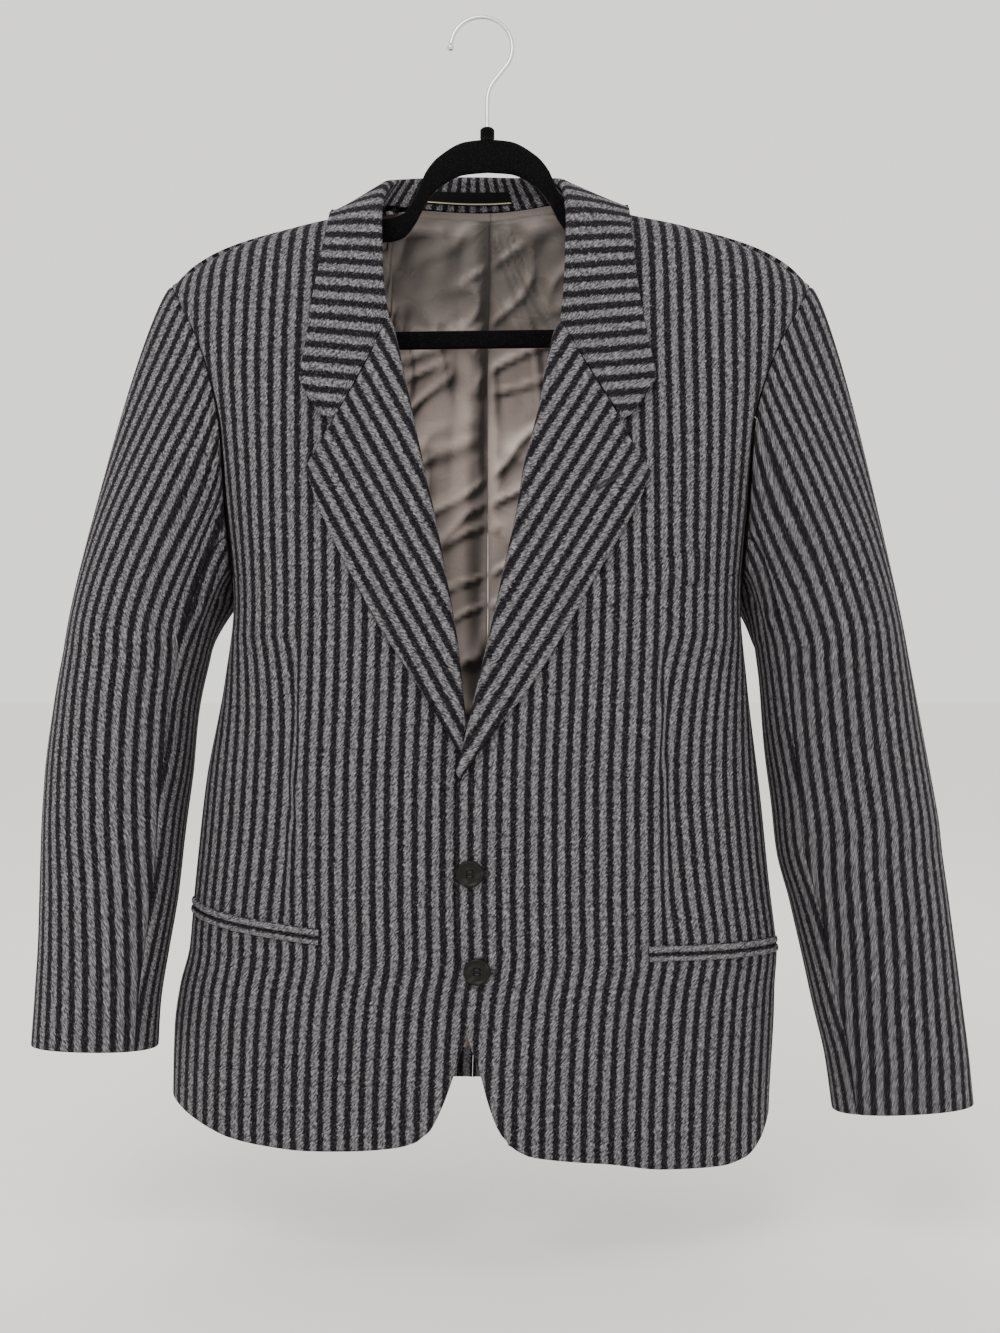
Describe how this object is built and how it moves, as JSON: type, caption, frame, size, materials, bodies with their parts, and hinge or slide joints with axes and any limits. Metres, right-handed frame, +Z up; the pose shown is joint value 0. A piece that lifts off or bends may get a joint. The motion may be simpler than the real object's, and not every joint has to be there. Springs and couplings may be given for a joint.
{
  "type": "tweed blazer on a hanger",
  "caption": "Single-breasted tweed blazer with notched lapels, jetted hip pockets and a breast welt, hung open at the neck, hem and cuffs on a slim flocked hanger with a wire hook.",
  "frame": {"origin": "inner top of the hook's wire, where the hanger hangs on a rail", "axes": "+Z up, -Y the blazer's front, +X the wearer's left, which is the right of a view from the front"},
  "size_m": [0.7167, 0.1785, 0.8874],
  "materials": {
    "tweed": "woven wool tweed, light and dark grey stripes",
    "lining": "smooth satin lining",
    "label": "woven strip with a pale border, bare",
    "button": "dark rimmed button",
    "hanger_flock": "black flocking over plastic",
    "hook_wire": "polished wire"
  },
  "bodies": {
    "root": {"front_left": "tweed", "side_left": "tweed", "back_left": "tweed", "sleeve_top_left": "tweed", "sleeve_under_left": "tweed", "lapel_left": "tweed", "lining_left": "lining", "jet_upper_left": "tweed", "jet_lower_left": "tweed", "front_right": "tweed", "side_right": "tweed", "back_right": "tweed", "sleeve_top_right": "tweed", "sleeve_under_right": "tweed", "lapel_right": "tweed", "lining_right": "lining", "jet_upper_right": "tweed", "jet_lower_right": "tweed", "collar": "tweed", "breast_welt": "tweed", "label": "label", "button_upper": "button", "button_lower": "button", "hanger_arms": "hanger_flock", "hanger_bar": "hanger_flock", "hook_boss": "hanger_flock", "hook": "hook_wire", "hook_tip": "hook_wire"}
  },
  "joints": []
}
